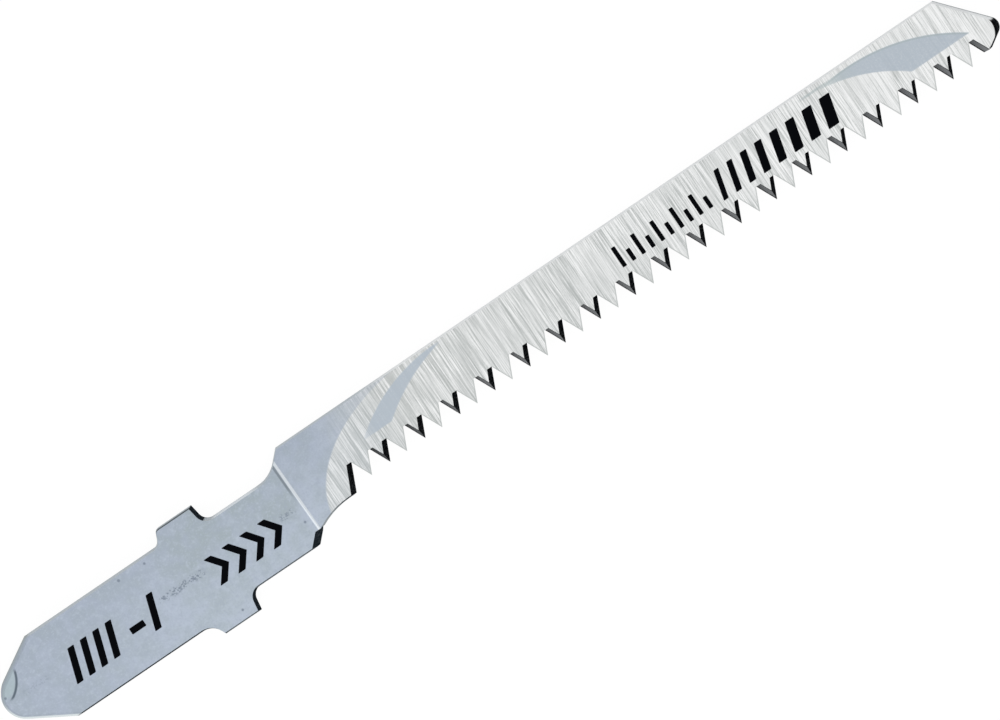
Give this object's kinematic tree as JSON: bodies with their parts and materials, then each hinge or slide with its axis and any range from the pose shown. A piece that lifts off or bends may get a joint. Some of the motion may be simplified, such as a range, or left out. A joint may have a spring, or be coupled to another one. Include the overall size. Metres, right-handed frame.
{
  "type": "jigsaw blade",
  "caption": "Short, narrow jigsaw blade for curve cutting in wood: lugged tang, taper-ground body and fine, alternately bevel-ground teeth.",
  "frame": {"origin": "on the tang's centreline at the plane where the lugs seat in the saw's clamp, on the back face of the blade", "axes": "+X along the blade from the tang to the tip, +Y from the teeth towards the spine, +Z out of the face that the picture shows; the blade lies flat on its back face"},
  "size_m": [0.0763, 0.008, 0.0015],
  "materials": {
    "blade_steel": "satin grey shank with a brighter, cross-ground body and teeth, and plain dark printed marks"
  },
  "bodies": {
    "root": {"blade": "blade_steel"}
  },
  "joints": []
}
